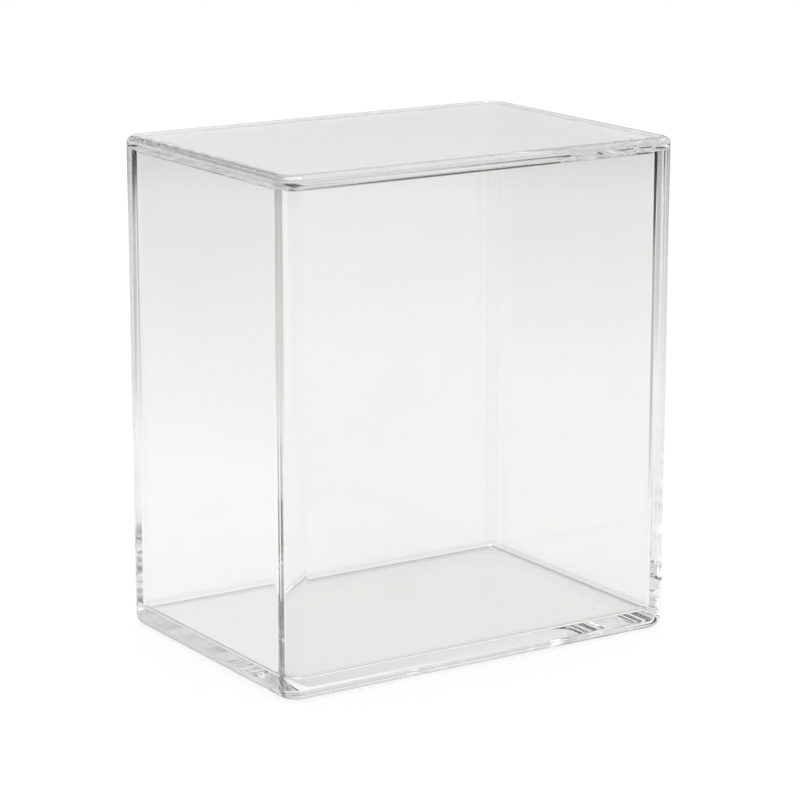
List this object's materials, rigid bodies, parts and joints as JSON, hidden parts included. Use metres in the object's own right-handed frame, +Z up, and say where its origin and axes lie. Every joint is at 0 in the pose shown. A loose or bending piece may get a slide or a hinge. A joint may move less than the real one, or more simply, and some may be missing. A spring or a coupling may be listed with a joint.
{
  "type": "acrylic gift box",
  "caption": "Clear rectangular acrylic box with rounded outer edges, cemented walls on a thick base, and a lift-off lid whose locating plate drops between the walls.",
  "frame": {"origin": "middle of the underside of the base plate, on the surface that the box stands on", "axes": "+Z up through the lid, +X along the width to the right as seen from the front, -Y towards the front wall"},
  "size_m": [0.09, 0.063, 0.1],
  "materials": {
    "clear_acrylic": "polished"
  },
  "bodies": {
    "box_body": {"base_plate": "clear_acrylic", "front_wall": "clear_acrylic", "back_wall": "clear_acrylic", "left_wall": "clear_acrylic", "right_wall": "clear_acrylic"},
    "lid": {"lid_plate": "clear_acrylic", "lid_locating_plate": "clear_acrylic"}
  },
  "joints": [
    {"name": "lid_lift", "type": "slide", "parent": "box_body", "child": "lid", "axis": [0, 0, 1], "range_m": [0, 0.06]}
  ]
}
